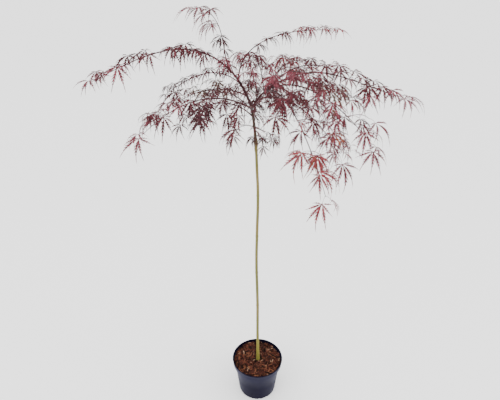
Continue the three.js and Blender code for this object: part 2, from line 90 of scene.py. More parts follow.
# Limbs and arms in millimetres and degrees: name, what it springs from and at what share, then
# azimuth, reach, climb, pitch at the start, pitch at the tip, radii, and what grows on it. There
# bare is the length without leaves, pairs counts the leaf pairs of the main shoot, sides its twigs,
# twig is the length of the longest one, swing bends the arm sideways, leaf is the size of its
# leaves, fine is the number of spurs tried for each leaf pair, and fine_to the share of a shoot's
# length up to which they grow.
ARMS = [
    ("leader", "stem", 1, 166, 74, 107, 64, 40, (4.2, 2.9), {}),
    ("right_bough", "stem", 0.985, 343, 76, 82, 60, 30, (3.7, 2.7), {}),
    ("left_arm", "leader", 1, 191, 396, -26, 44, -25, (2.8, 0.8),
     {"bare": 32, "pairs": 12, "swing": 6, "fine": 0.3}),
    ("top_shoot", "leader", 0.95, 170, 76, 168, 74, 20, (2, 0.8),
     {"bare": 14, "pairs": 5, "leaf": 0.95, "fine": 0.4}),
    ("right_upper_arm", "leader", 0.6, 10, 287, 138, 90, -4, (1.9, 0.8),
     {"bare": 34, "pairs": 8, "leaf": 0.75, "fine": 0.3}),
    ("mid_left_arm", "leader", 0.5, 160, 262, -52, 34, -34, (1.9, 0.8),
     {"bare": 26, "pairs": 6, "swing": -8, "leaf": 0.7, "fine": 0.4}),
    ("lower_left_arm", "stem", 0.985, 202, 340, -38, 34, -38, (2.8, 0.8),
     {"bare": 44, "pairs": 9, "sides": 4, "twig": 110, "swing": -5, "fine": 0.3}),
    ("left_middle_arm", "leader", 0.2, 186, 232, -26, 28, -34, (2.1, 0.8),
     {"bare": 24, "pairs": 7, "sides": 2, "twig": 80, "swing": 6, "fine": 0.6}),
    ("right_arm", "right_bough", 1, 345, 358, -14, 34, -12, (2.6, 0.8),
     {"bare": 44, "pairs": 10, "sides": 3, "twig": 100, "swing": 5, "fine": 0.1}),
    ("top_right_arm", "right_bough", 0.9, 8, 226, 18, 52, -36, (2.1, 0.8),
     {"bare": 40, "pairs": 6, "sides": 3, "twig": 90, "swing": 8, "fine": 0.3}),
    ("top_back_arm", "right_bough", 0.72, 54, 190, 48, 58, -24, (2, 0.8),
     {"bare": 40, "pairs": 6, "sides": 2, "twig": 80, "swing": -10, "fine": 4}),
    ("top_front_arm", "right_bough", 0.8, 312, 170, 46, 58, -30, (2, 0.8),
     {"bare": 36, "pairs": 5, "sides": 2, "twig": 70, "swing": 10, "fine": 3.5}),
    ("top_left_arm", "right_bough", 0.6, 118, 74, 92, 76, 0, (1.8, 0.8),
     {"bare": 22, "pairs": 5, "sides": 1, "twig": 60, "fine": 8}),
    ("lower_right_arm", "right_bough", 0.62, 327, 348, -98, 34, -46, (2.5, 0.8),
     {"bare": 70, "pairs": 9, "sides": 4, "twig": 110, "swing": -6, "fine": 0.2}),
    ("hanging_arm", "right_bough", 0.5, 298, 350, -190, 36, -60, (2.5, 0.8),
     {"bare": 90, "pairs": 6, "sides": 3, "twig": 90, "swing": -5, "leaf": 1.1, "fine": 3.5, "fine_to": 0.5}),
    ("low_right_arm", "right_bough", 0.3, 320, 300, -106, 28, -56, (2.1, 0.8),
     {"bare": 60, "pairs": 8, "sides": 3, "twig": 90, "swing": -8, "fine": 2.2}),
    ("front_arm", "stem", 0.972, 264, 215, 34, 48, -38, (2.2, 0.8),
     {"bare": 64, "pairs": 6, "sides": 2, "twig": 70, "swing": -8, "fine": 1.2}),
    ("front_left_arm", "stem", 0.96, 222, 262, 42, 44, -34, (2.3, 0.8),
     {"bare": 70, "pairs": 7, "sides": 2, "twig": 80, "swing": 8, "fine": 0.3}),
    ("back_left_arm", "stem", 0.98, 122, 340, -116, 28, -60, (2.4, 0.8),
     {"bare": 80, "pairs": 9, "sides": 5, "twig": 115, "swing": 8, "fine": 0.3}),
    ("back_arm", "stem", 0.965, 86, 400, -120, 40, -60, (2.6, 0.8),
     {"bare": 90, "pairs": 9, "sides": 5, "twig": 125, "swing": -8, "fine": 1}),
    ("back_right_arm", "right_bough", 0.34, 40, 390, -125, 32, -58, (2.5, 0.8),
     {"bare": 80, "pairs": 9, "sides": 5, "twig": 125, "swing": 8, "fine": 0.2}),
    ("stem_shoot_left", "stem", 0.93, 190, 62, -10, 30, -50, (1.4, 0.8),
     {"bare": 0, "pairs": 2, "fine": 0.5}),
    ("stem_shoot_right", "stem", 0.905, 312, 46, -12, 20, -50, (1.4, 0.8),
     {"bare": 0, "pairs": 2, "leaf": 0.8, "fine": 5}),
    ("inner_left_shoot", "leader", 0.72, 222, 62, 66, 58, 0, (1.4, 0.8),
     {"bare": 0, "pairs": 3, "leaf": 0.72, "fine": 4}),
    ("inner_right_shoot", "right_bough", 0.36, 208, 46, 84, 74, 10, (1.4, 0.8),
     {"bare": 0, "pairs": 4, "leaf": 0.72, "fine": 5}),
]
TWIG = {
    "base": 1.3 * MM,
    "tip": 0.7 * MM,
    "spread": (34, 62),  # degrees away from the shoot it grows on
    "lift": (4, 26),
    "sag": 0.16,  # how far the tip falls, as a share of the length
    "arrive": -42,
    "last": 0.82,  # share of the shoot's length at which the last one grows
    "shrink": 0.55,  # length of the last one, as a share of the first
    "vary": (0.85, 1.1),
    "free_from": 0.3,  # the share of its length from which it looks for room
    "room": 5 * MM,
    "sides": 5,
    "ring_step": 7 * MM,
}
LEAF = {
    "lobe": 80 * MM,
    "stalk": 27 * MM,
    "arch": 0.12,  # how high the stalk arches, as a share of its length
    "free_from": 0.4,  # the share of the stalk from which it looks for room
    "size": (0.72, 1.08),
    "spread": (26, 84),
    "lift": (0, 38),
    "droop": (38, 72),
    "sag": 0.22,  # how far the lobes fall away from the flat of the leaf
    "turn": (-14, 14),
    "end_spread": (40, 66),  # the same for the pair at a shoot's tip, which follows the shoot
    "end_lift": (-4, 14),
    "end_droop": (8, 32),
    "follow": 0.65,
    "spacing": 42 * MM,
    "room": 7 * MM,
    "own_room": 0.8 * MM,
    "rib": 0.55 * MM,
}
TESTED_LOBES = ((-74, 0.66), (-36, 0.9), (0, 1.0), (36, 0.9), (74, 0.66))
# The finished leaf's lobes: azimuth from the leaf's heading, length as a share of the middle one, and
# teeth on either side
LOBES = (
    (-102, 0.4, 3), (-67, 0.68, 4), (-31, 0.92, 5), (0, 1.0, 5),
    (31, 0.92, 5), (67, 0.68, 4), (102, 0.4, 3),
)
# One lobe, as shares of its length
LOBE = {
    "foot": 0.011,  # half widths, and those of the core and the teeth where the lobe is broadest
    "core": 0.022,
    "tooth": 0.094,
    "tail": 0.012,
    "point": 0.0012,
    "sweep": 1.7,  # how far a tooth points forward, as a share of its height
    "swell": 0.72,  # below 1 the lobe is broadest nearer its foot
    "end_step": 0.8,  # steps from tooth to tooth that the swell has left over at either end
    "first_tooth": 0.12,  # places on the rib
    "last_tooth": 0.71,
    "fold": 0.5,  # how steeply it is folded along its rib
    "bow": (0.1, 0.24),
    "sway": (-0.16, 0.16),
    "vary": (0.86, 1.04),  # its length, as a share of the table's
    "turn": (-9, 9),  # degrees away from the table's azimuth
    "fall": (-10, 12),  # degrees out of the flat of the leaf
}
TINTS = ("burgundy", "plum", "rose", "crimson", "orange", "bronze")
# The tints of each mass's sprays, from the foot of the arm to its tip: partly the leaves' age, from the
# oldest near the foot to the youngest at the tip, and partly painted light, with a darker tint as painted
# shade on the inner leaves and a lighter one as painted light on the outer ones
PALETTES = {
    "left_arm": ("plum", "burgundy", "burgundy", "rose"),
    "top_shoot": ("burgundy", "plum", "rose"),
    "right_upper_arm": ("burgundy", "plum", "burgundy", "rose", "crimson"),
    "mid_left_arm": ("plum", "burgundy", "plum"),
    "lower_left_arm": ("burgundy", "plum", "burgundy", "rose"),
    "left_middle_arm": ("burgundy", "bronze", "burgundy"),
    "right_arm": ("burgundy", "rose", "burgundy", "rose"),
    "top_right_arm": ("rose", "burgundy", "rose"),
    "top_back_arm": ("rose", "crimson", "rose"),
    "top_front_arm": ("crimson", "rose", "rose", "burgundy"),
    "top_left_arm": ("burgundy", "rose", "rose"),
    "lower_right_arm": ("plum", "burgundy", "burgundy", "rose"),
    "hanging_arm": (
        "plum", "plum", "burgundy", "rose", "burgundy", "crimson", "orange", "crimson", "crimson",
    ),
    "low_right_arm": ("plum", "plum", "bronze", "burgundy", "rose"),
    "front_arm": ("burgundy", "plum", "burgundy"),
    "front_left_arm": ("burgundy", "bronze", "plum"),
    "back_left_arm": ("plum", "burgundy", "bronze", "burgundy"),
    "back_arm": ("plum", "burgundy", "rose", "burgundy"),
    "back_right_arm": ("burgundy", "rose", "bronze", "rose"),
    "stem_shoot_left": ("burgundy",),
    "stem_shoot_right": ("plum", "burgundy"),
    "inner_left_shoot": ("burgundy", "rose"),
    "inner_right_shoot": ("plum", "burgundy", "rose"),
}
TINT_STRAY = (-0.16, 0.16)  # how far a spray strays from its place in the palette
LEAF_MOTTLE_AND_SHADE = (0.55, 1.6)  # the darkest and lightest patches of a leaf, as shares of its tint: partly the leaf's own uneven tone, partly painted light and shade
SPUR = {
    "length": (14 * MM, 38 * MM),
    "place": (0.25, 0.75),  # where it stands in its own part of the shoot
    "lift": (-4, 34),
    "arrive": -20,
    "leaf": (0.52, 0.8),
    "node": 0.99,  # the share of its length at which its leaves stand
    "radii": (0.7 * MM, 0.49 * MM),
    "room": 1.5 * MM,
    "own_room": 0.4 * MM,
}
STALK = {
    "radii": (0.75 * MM, 0.5 * MM, 0.45 * MM, 0.6 * MM),  # from the shoot to the lobes, at full size
    "sides": 3,
}
BOUGH = {
    "sides": 9,
    "ring_step": 3.2 * MM,
    "foot_swell": 0.35,  # swellings are shares of the radius
    "foot_run": 6 * MM,
    "node_swell": 0.38,
    "node_run": 2.6 * MM,
    "bare_nodes": (0.35, 0.72),  # nodes of a limb without leaves, as shares of its length
}
# The relief of the stem's bark. A wave has its count round the stem and its rise for each radian.
RELIEF = {
    "under_foot": 0.4,  # the share of a node spacing that lies under the stem's foot
    "node": 0.28 * MM,
    "node_run": 2.4 * MM,
    "bud": 0.72 * MM,
    "ridge": 0.9 * MM,
    "ridge_count": 5,
    "ridge_turn": 0.6,
    "ridge_sink": 0.2,
    "knot": 0.55 * MM,
    "knot_run": 22 * MM,
    "knot_waves": ((7, 3.1 * MM), (3, 5.3 * MM)),
    "wave": 0.14 * MM,
    "wave_form": (3, 31 * MM),
    "ripple": 0.1 * MM,
    "ripple_form": (5, -17 * MM),
    "fade": 12 * MM,  # under the fork, where the limbs begin
}
# How the pot's underside turns up into its wall: millimetres in from the foot radius, and up
POT_FOOT = ((12, 0), (7, 0), (4, 0), (1.9, 0.6), (0.5, 2))
POT_RINGS = (4 * MM, 9 * MM)  # heights of the first rings of the wall
GROOVE_REACH = 10 * MM  # between POT_FOOT's first two rings, so that a groove's inner end slopes
MERGE = 0.01 * MM  # vertices of the pot that are nearer than this become one
# How far the pot's softened edges run from their corners
POT_EDGE = {
    "rim": 0.8 * MM,
    "brim": 0.6 * MM,
    "under_ledge": 1.2 * MM,
    "over_ledge": 0.1 * MM,
    "ledge_share": 0.2,  # of the collar's step
}
# The share of each tint among the bark chips. The pale chips are a painted highlight.
CHIP_TINTS = {"dark": 0.3, "brown": 0.31, "russet": 0.23, "orange": 0.12, "pale": 0.04}
CHIP = {
    "off_stem": 1 * MM,
    "shapes": 8,
    "width": (0.1, 0.32),  # as shares of the length
    "thickness": (0.1, 0.24),
    "pitch": 0.22,  # typical tilts in radians
    "roll": 0.4,
    "cut": 0.12,  # the form of a chip that is one unit long
    "taper": 0.9,
    "rough": (0.7, 1.1),
    "split": (0.85, 1),
}
MOST_NOISE = (0.35, 0.65)  # where nearly all values of a noise pattern lie
# Soft lights: name, place, side of the square, and power as a share of the key light's
LIGHTS = (
    ("key_light", (-2.2, -2.4, 3.6), 2.4, 1),
    ("fill_light", (2.8, -1.4, 2.6), 2.0, 0.4),
)
CROWN = (0, 0, 1)  # where the lights aim
SENSOR = 36  # the width of the camera's sensor in millimetres
SEEDS = {"tints": 500, "spurs": 900, "leaves": 3000, "mulch": 21}
DICE = {"start": 104729, "step": 7919, "factor": 16807, "modulus": 2147483647}
PATH_STOPS = 201
NUDGE = 1e-4  # the step by which a path's direction is read
TINY = 1e-15  # below it two stretches run side by side


# How the plant grows

def dice(seed):
    """A repeatable stream of numbers from 0 to 1."""
    state = seed * DICE["step"] + DICE["start"]

    def roll():
        nonlocal state
        state = (state * DICE["factor"]) % DICE["modulus"]
        return state / DICE["modulus"]

    return roll


def mix(a, b, share):
    return a + (b - a) * share


def within(limits, share):
    return mix(limits[0], limits[1], share)


def heading(azimuth, pitch):
    a = math.radians(azimuth)
    p = math.radians(pitch)
    return np.array([math.cos(p) * math.cos(a), math.cos(p) * math.sin(a), math.sin(p)])


def azimuth_of(way):
    return math.degrees(math.atan2(way[1], way[0]))


def unit(vectors):
    return vectors / np.linalg.norm(vectors, axis=-1, keepdims=True)


def bell(distance, run):
    """1 at no distance, and next to nothing from twice the run on."""
    return np.exp(-((distance / run) ** 2))


class Path:
    """A curve that is read by shares of its length, from 0 at its foot to 1 at its tip."""

    def __init__(self, point):
        self.point = point
        self.steps = np.linspace(0, 1, PATH_STOPS)
        chords = np.linalg.norm(np.diff(point(self.steps), axis=0), axis=1)
        self.run = np.concatenate([[0.0], np.cumsum(chords)])
        self.length = self.run[-1]

    def step(self, share):
        return np.interp(np.asarray(share) * self.length, self.run, self.steps)

    def at(self, share):
        return self.point(self.step(share))

    def along(self, share):
        step = self.step(share)
        ahead = self.point(np.minimum(step + NUDGE, 1))
        behind = self.point(np.maximum(step - NUDGE, 0))
        return unit(ahead - behind)


def arc(start, azimuth, reach, climb, leave, arrive, swing=0):
    """A path that leaves at one pitch and arrives at its tip at another."""
    tip = start + heading(azimuth, 0) * reach + np.array([0, 0, climb])
    handle = HANDLE * math.hypot(reach, climb)
    first = start + heading(azimuth + swing, leave) * handle
    last = tip - heading(azimuth - swing, arrive) * handle

    def point(step):
        u = np.asarray(step)[..., None]
        v = 1 - u
        return v**3 * start + 3 * v * v * u * first + 3 * v * u * u * last + u**3 * tip

    return Path(point)


def spline(places):
    """The smooth curve through places."""
    knots = np.array(places, float)
    padded = np.vstack([2 * knots[0] - knots[1], knots, 2 * knots[-1] - knots[-2]])

    def point(step):
        run = np.asarray(step) * (len(knots) - 1)
        first = np.minimum(run.astype(int), len(knots) - 2)
        u = (run - first)[..., None]
        before, a, b, after = (padded[first + k] for k in range(4))
        leave = (b - before) / 2
        arrive = (after - a) / 2
        return (
            a + leave * u + (3 * (b - a) - 2 * leave - arrive) * u**2
            + (2 * (a - b) + leave + arrive) * u**3
        )

    return Path(point)


def even_shares(path, first, last, step):
    """Shares of a path's length from first to last, about one step apart."""
    count = max(2, math.ceil(path.length * (last - first) / step))
    return np.linspace(first, last, count + 1)


def pair_shares(path, first, pairs, step):
    """Shares from first to the tip: one at each leaf pair, and more between pairs that are far apart."""
    between = math.ceil(path.length * (1 - first) / (pairs * step))
    return np.linspace(first, 1, max(2, pairs * between) + 1)


def stem_radius(up, length):
    """The stem's radius at a height above its foot."""
    below = mix(STEM["foot"], STEM["below_graft"], up / GRAFT_UP)
    above = mix(STEM["above_graft"], STEM["fork"], (up - GRAFT_UP) / (length - GRAFT_UP))
    taper = np.where(up < GRAFT_UP, below, above)
    flare = (STEM["flare"] - STEM["foot"]) * np.exp(-up / STEM["flare_height"])
    swelling = (STEM["graft"] - STEM["below_graft"]) * bell(up - GRAFT_UP, STEM["graft_spread"])
    return taper + flare + swelling


class Shoot:
    """A woody path with its radii, where its leaves begin, and the number of its leaf pairs."""

    def __init__(self, path, azimuth, radii, first=0.0, pairs=0):
        self.path = path
        self.side = heading(azimuth + 90, 0)
        self.radii = radii
        self.first = first
        self.pairs = pairs

    def radius(self, share):
        return within(self.radii, share)

    def node_shares(self):
        return [min(mix(self.first, 1, (k + 1) / self.pairs), LAST_NODE) for k in range(self.pairs)]


class Arm:
    """One limb or arm of the crown, as the table gives it, with what grows on it."""

    def __init__(self, number, name, parent, at, azimuth, reach, climb, leave, arrive, radii, growth):
        self.number = number
        self.name = name
        self.azimuth = azimuth
        self.pairs = growth.get("pairs", 0)
        self.sides = growth.get("sides", 0)
        self.twig = growth.get("twig", 0) * MM
        self.leaf = growth.get("leaf", 1)
        self.fine = growth.get("fine", 0)
        self.fine_to = growth.get("fine_to", 1)
        start = parent.path.at(at)
        path = arc(start, azimuth, reach * MM, climb * MM, leave, arrive, growth.get("swing", 0))
        self.bare = growth["bare"] * MM / path.length if self.pairs else 1
        self.first = self.bare + CLEAR / path.length if self.bare > 0 else 0
        self.main = Shoot(path, azimuth, (radii[0] * MM, radii[1] * MM), self.first, self.pairs)
        self.path = path
        self.shoots = []
        self.leaves = []


class Room:
    """The straight stretches that wood and leaves take up: start, end, radius and owner."""

    def __init__(self):
        self.rows = np.zeros((0, 8))

    def take(self, owner, points, radius):
        points = np.asarray(points)
        count = len(points) - 1
        rows = np.column_stack([points[:-1], points[1:], np.full(count, radius), np.full(count, owner)])
        self.rows = np.vstack([self.rows, rows])

    def fits(self, owner, starts, ends, room, own_room, base):
        """True if no stretch comes too near to anything but the wood of its own mass that it grows on."""
        starts = np.asarray(starts)
        ends = np.asarray(ends)
        middle = (starts.mean(0) + ends.mean(0)) / 2
        reach = np.linalg.norm(np.vstack([starts, ends]) - middle, axis=1).max()
        half = np.linalg.norm(self.rows[:, 3:6] - self.rows[:, :3], axis=1) / 2
        away = np.linalg.norm((self.rows[:, :3] + self.rows[:, 3:6]) / 2 - middle, axis=1)
        rows = self.rows[away < reach + half + room + STEM["flare"]]
        own = rows[:, 7] == owner
        dot = base + np.array([0, 0, DOT])
        grows_on = own & (apart(base[None], dot[None], rows)[0] < rows[:, 6] + TOUCH)
        rows = rows[~grows_on]
        least = rows[:, 6] + np.where(rows[:, 7] == owner, own_room, room)
        return bool(np.all(apart(starts, ends, rows) > least))


def apart(starts, ends, rows):
    """Least distances from each of some straight stretches to each row."""
    p = starts[:, None]
    r = rows[None, :, :3]
    d1 = (ends - starts)[:, None]
    d2 = rows[None, :, 3:6] - r
    w = p - r
    a = (d1 * d1).sum(-1)
    e = (d2 * d2).sum(-1)
    b = (d1 * d2).sum(-1)
    c = (d1 * w).sum(-1)
    f = (d2 * w).sum(-1)
    spread = a * e - b * b
    along = np.where(spread > TINY, np.clip((b * f - c * e) / np.maximum(spread, TINY), 0, 1), 0)
    across = (b * along + f) / e
    kept = np.clip(across, 0, 1)
    along = np.where(across == kept, along, np.clip((b * kept - c) / a, 0, 1))
    gap = w + along[..., None] * d1 - kept[..., None] * d2
    return np.linalg.norm(gap, axis=-1)


class Leaf:
    """A leaf's stalk, the place, heading, droop and size of its lobes, and its tint."""

    def __init__(self, shoot, share, side, scale, last, tint, roll):
        along = shoot.path.along(share)
        pitch = math.degrees(math.asin(along[2]))
        follow = LEAF["follow"] * min(pitch, 0) if last else 0
        kind = "end_" if last else ""
        azimuth = azimuth_of(along) + side * within(LEAF[kind + "spread"], roll())
        lift = within(LEAF[kind + "lift"], roll()) + follow
        self.droop = within(LEAF[kind + "droop"], roll()) - follow
        self.size = scale * within(LEAF["size"], roll())
        self.turned = azimuth + within(LEAF["turn"], roll())
        self.base = shoot.path.at(share)
        self.centre = self.base + heading(azimuth, lift) * LEAF["stalk"] * self.size
        self.arch = heading(azimuth, lift + 90) * LEAF["stalk"] * self.size * LEAF["arch"]
        self.tint = tint

    def lobe_way(self, turn, fall=0):
        """Which way a lobe points: it is turned in the flat of the leaf, and sags a little."""
        ahead = heading(self.turned, -self.droop - fall)
        aside = heading(self.turned + 90, 0)
        angle = math.radians(turn)
        return unit(ahead * math.cos(angle) + aside * math.sin(angle) - np.array([0, 0, LEAF["sag"]]))

    def ribs(self):
        """The straight stretches that stand for the leaf when it looks for room."""
        long = LEAF["lobe"] * self.size
        tips = [self.centre + self.lobe_way(turn) * long * share for turn, share in TESTED_LOBES]
        starts = [self.centre] * len(tips) + [mix(self.base, self.centre, LEAF["free_from"])]
        return starts, tips + [self.centre]


def side_twigs(arm, room, roll):
    """Twigs in turn on either side of an arm's main shoot."""
    twigs = []
    for k in range(arm.sides):
        share = mix(arm.first, TWIG["last"], (k + 0.5) / arm.sides)
        azimuth = arm.azimuth + (1 if k % 2 else -1) * within(TWIG["spread"], roll())
        length = arm.twig * mix(1, TWIG["shrink"], k / arm.sides) * within(TWIG["vary"], roll())
        leave = within(TWIG["lift"], roll())
        path = arc(arm.path.at(share), azimuth, length, -length * TWIG["sag"], leave, TWIG["arrive"])
        free = path.at(TWIG["free_from"])
        if room.fits(arm.number, [free], [path.at(1)], TWIG["room"], TWIG["room"], path.at(0)):
            pairs = max(1, round(length / LEAF["spacing"]))
            twigs.append(Shoot(path, azimuth, (TWIG["base"], TWIG["tip"]), 0, pairs))
    return twigs


def add_leaf(leaf, arm, room, others, own):
    """Keeps a leaf if there is room for it, both to the other masses and to its own."""
    starts, ends = leaf.ribs()
    if room.fits(arm.number, starts, ends, others, own, leaf.base):
        for rib in zip(starts, ends):
            room.take(arm.number, rib, LEAF["rib"])
        arm.leaves.append(leaf)


def tint_at(arm, place, share):
    """The tint of a spray: the further out it stands on its arm, the further on in the palette, which runs
    from old leaves to young ones and from painted shade on the inner leaves to painted light on the outer
    ones.
    """
    palette = PALETTES[arm.name]
    start, end = arm.path.at(0), arm.path.at(1)
    age_and_light = np.linalg.norm(place - start) / np.linalg.norm(end - start) + within(TINT_STRAY, share)
    return palette[int(np.clip(age_and_light * len(palette), 0, len(palette) - 1))]


def grow_pairs(arm, room, roll):
    """The leaf pairs of an arm, each pair in one tint."""
    deal = dice(arm.number + SEEDS["tints"])
    for shoot in arm.shoots:
        shares = shoot.node_shares()
        for share in shares:
            tint = tint_at(arm, shoot.path.at(share), deal())
            for side in (-1, 1):
                leaf = Leaf(shoot, share, side, arm.leaf, share == shares[-1], tint, roll)
                add_leaf(leaf, arm, room, LEAF["room"], LEAF["own_room"])


def grow_spur(arm, shoot, place, side, room, roll):
    """A short spur with a pair of smaller leaves. It is kept if one of them finds room."""
    start = shoot.path.at(place)
    azimuth = azimuth_of(shoot.path.along(place)) + side * within(TWIG["spread"], roll())
    length = within(SPUR["length"], roll())
    path = arc(start, azimuth, length, 0, within(SPUR["lift"], roll()), SPUR["arrive"])
    spur = Shoot(path, azimuth, SPUR["radii"])
    scale = arm.leaf * within(SPUR["leaf"], roll())
    tint = tint_at(arm, start, roll())
    before = len(arm.leaves)
    for turn in (-1, 1):
        leaf = Leaf(spur, SPUR["node"], turn, scale, False, tint, roll)
        add_leaf(leaf, arm, room, SPUR["room"], SPUR["own_room"])
    if len(arm.leaves) > before:
        arm.shoots.append(spur)


def grow_spurs(arm, room):
    """Finer growth than the solids have: spurs between the leaf pairs."""
    roll = dice(arm.number + SEEDS["spurs"])
    for shoot in list(arm.shoots):
        tries = round(arm.fine * shoot.pairs)
        for k in range(tries):
            place = mix(shoot.first, arm.fine_to, (k + within(SPUR["place"], roll())) / tries)
            grow_spur(arm, shoot, place, 1 if k % 2 else -1, room, roll)


def take_wood(room, stem, arms):
    """The bare limbs, the stem and the main shoots take up their room."""
    for arm in arms:
        if arm.bare > 0:
            shares = even_shares(arm.path, 0, arm.bare, BARE_STEP)
            room.take(arm.number, arm.path.at(shares), arm.main.radii[0])
        if arm.pairs:
            shares = pair_shares(arm.path, arm.bare, arm.pairs, SHOOT_STEP)
            room.take(arm.number, arm.path.at(shares), arm.main.radius(0.5))
    room.take(NO_MASS, stem.path.at(np.linspace(0, 1, STEM_STOPS)), STEM["foot"])


@functools.lru_cache(maxsize=1)
def grow():
    """The stem and every arm with its shoots and leaves: what the solids have, and then the spurs."""
    stem = Shoot(spline(np.array(STEM_ROUTE) * MM), 0, (STEM["foot"], STEM["fork"]))
    limbs = {"stem": stem}
    for number, (name, on, *rest) in enumerate(ARMS):
        limbs[name] = Arm(number, name, limbs[on], *rest)
    arms = list(limbs.values())[1:]
    masses = [arm for arm in arms if arm.pairs]
    rolls = [dice(k + 1) for k in range(len(masses))]
    room = Room()
    take_wood(room, stem, arms)
    for arm, roll in zip(masses, rolls):
        twigs = side_twigs(arm, room, roll)
        for twig in twigs:
            shares = pair_shares(twig.path, 0, twig.pairs, SHOOT_STEP)
            room.take(arm.number, twig.path.at(shares), TWIG["base"])
        arm.shoots = [arm.main] + twigs
    for arm, roll in zip(masses, rolls):
        grow_pairs(arm, room, roll)
    for arm in masses:
        grow_spurs(arm, room)
    return stem, arms


# Meshes

def template(bm):
    """The places of a bmesh's vertices and its triangles, for copying many times."""
    bmesh.ops.triangulate(bm, faces=bm.faces[:])
    bm.verts.index_update()
    places = np.array([v.co[:] for v in bm.verts])
    faces = np.array([[v.index for v in f.verts] for f in bm.faces])
    bm.free()
    return places, faces


@functools.lru_cache(maxsize=None)
def rod_template(sides, rings):
    """A closed rod along X from 0 to 1, with a radius of 1 and rings at even steps."""
    bm = bmesh.new()
    bmesh.ops.create_cone(
        bm, cap_ends=True, segments=sides, radius1=1, radius2=1, depth=1,
        matrix=Matrix.Translation((0.5, 0, 0)) @ Matrix.Rotation(math.pi / 2, 4, "Y"),
    )
    long = [e for e in bm.edges if abs(e.verts[0].co.x - e.verts[1].co.x) > 0.5]
    bmesh.ops.subdivide_edges(bm, edges=long, cuts=rings - 2, use_grid_fill=True)
    return template(bm)


def rod(path, side, shares, radii, sides):
    """A rod along a path, with a ring at each share, and a radius for each ring or for each corner."""
    places, faces = rod_template(sides, len(shares))
    ring = np.rint(places[:, 0] * (len(shares) - 1)).astype(int)
    centre = path.at(shares)
    along = path.along(shares)
    across = unit(side - (along @ side)[:, None] * along)
    other = np.cross(across, along)
    size = radii[ring] if radii.ndim == 1 else radii[ring, corner_of(places, sides)]
    size = size * np.hypot(places[:, 1], places[:, 2])
    angle = np.arctan2(places[:, 2], places[:, 1])
    turned = np.cos(angle)[:, None] * other[ring] + np.sin(angle)[:, None] * across[ring]
    return centre[ring] + turned * size[:, None], faces


def corner_of(places, sides):
    """Which of the rod's lengthwise lines each vertex lies on."""
    angle = np.arctan2(places[:, 2], places[:, 1])
    return np.rint(angle / (2 * math.pi) * sides).astype(int) % sides


def lobe_margin(teeth):
    """Stations along a lobe: the place on its rib, the place of its margin, and its half width there."""
    pitch = (LOBE["last_tooth"] - LOBE["first_tooth"]) / teeth
    stations = [(0, 0, LOBE["foot"])]
    for k in range(teeth):
        foot = LOBE["first_tooth"] + k * pitch
        tip = foot + pitch / 2
        share = (k + LOBE["end_step"]) / (teeth - 1 + 2 * LOBE["end_step"])
        breadth = math.sin(math.pi * share ** LOBE["swell"])
        core = max(LOBE["core"] * breadth, LOBE["foot"])
        height = LOBE["tooth"] * breadth
        stations.append((foot, foot, core))
        stations.append((tip, tip + LOBE["sweep"] * height, height))
    end = LOBE["last_tooth"]
    half_way = (end + 1) / 2
    stations += [(end, end, LOBE["foot"]), (half_way, half_way, LOBE["tail"]), (1, 1, LOBE["point"])]
    return stations


@functools.lru_cache(maxsize=None)
def lobe_template(teeth):
    """One lobe, flat: X along its rib from 0 to 1, Y across it, cut into forward-pointing teeth."""
    stations = lobe_margin(teeth)
    cells = len(stations) - 1
    bm = bmesh.new()
    bmesh.ops.create_grid(
        bm, x_segments=cells, y_segments=2, size=0.5, matrix=Matrix.Translation((0.5, 0, 0)),
    )
    for v in bm.verts:
        on_rib, on_margin, half = stations[round(v.co.x * cells)]
        side = round(v.co.y * 2)
        v.co.x = on_margin if side else on_rib
        v.co.y = side * half
    return template(bm)


def leaf_geometry(leaf, roll):
    """A leaf: lobes that arch out from the end of its stalk and hang, each folded along its rib."""
    parts = []
    for turn, share, teeth in LOBES:
        flat, faces = lobe_template(teeth)
        u = flat[:, 0:1]
        v = flat[:, 1:2]
        long = LEAF["lobe"] * leaf.size * share * within(LOBE["vary"], roll())
        rib = leaf.lobe_way(turn + within(LOBE["turn"], roll()), within(LOBE["fall"], roll()))
        across = unit(np.cross(heading(leaf.turned, 90 - leaf.droop), rib))
        up = np.cross(rib, across)
        bow = within(LOBE["bow"], roll()) * 4 * u * (1 - u)
        sway = within(LOBE["sway"], roll()) * u**2
        fold = LOBE["fold"] * np.abs(v)
        shape = u * rib + (bow + fold) * up + (v + sway) * across
        parts.append((leaf.centre + long * shape, faces))
    return merged(parts)


def merged(parts):
    """The vertices and faces of several small meshes as those of one."""
    starts = np.cumsum([0] + [len(places) for places, _ in parts])
    places = np.vstack([part[0] for part in parts])
    faces = np.vstack([part[1] + start for part, start in zip(parts, starts)])
    return places, faces


def stalk_geometry(leaf):
    """A thin stalk that arches from the shoot to the middle of the leaf."""
    def point(step):
        u = np.asarray(step)[..., None]
        return mix(leaf.base, leaf.centre, u) + 4 * u * (1 - u) * leaf.arch

    radii = np.array(STALK["radii"]) * leaf.size
    shares = np.linspace(0, 1, len(radii))
    return rod(Path(point), heading(leaf.turned + 90, 0), shares, radii, STALK["sides"])


def linked(name, data):
    """A new object in the scene."""
    item = bpy.data.objects.new(name, data)
    bpy.context.scene.collection.objects.link(item)
    return item


def joined(name, parts, materials, indices=None, smooth=True):
    """One object from many small meshes, with a material index for each of them."""
    places, faces = merged(parts)
    mesh = bpy.data.meshes.new(name)
    mesh.from_pydata(places.tolist(), [], faces.tolist())
    for material in materials:
        mesh.materials.append(material)
    if indices is not None:
        per_face = np.repeat(indices, [len(part[1]) for part in parts])
        mesh.polygons.foreach_set("material_index", per_face.astype(np.int32))
    mesh.polygons.foreach_set("use_smooth", np.full(len(faces), smooth))
    mesh.update()
    return linked(name, mesh)


def settle(piece, slot, *nodes):
    """A finished piece rides on the plant, and stands for the nodes it replaces."""
    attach(piece, "root")
    if nodes:
        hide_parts(*nodes)


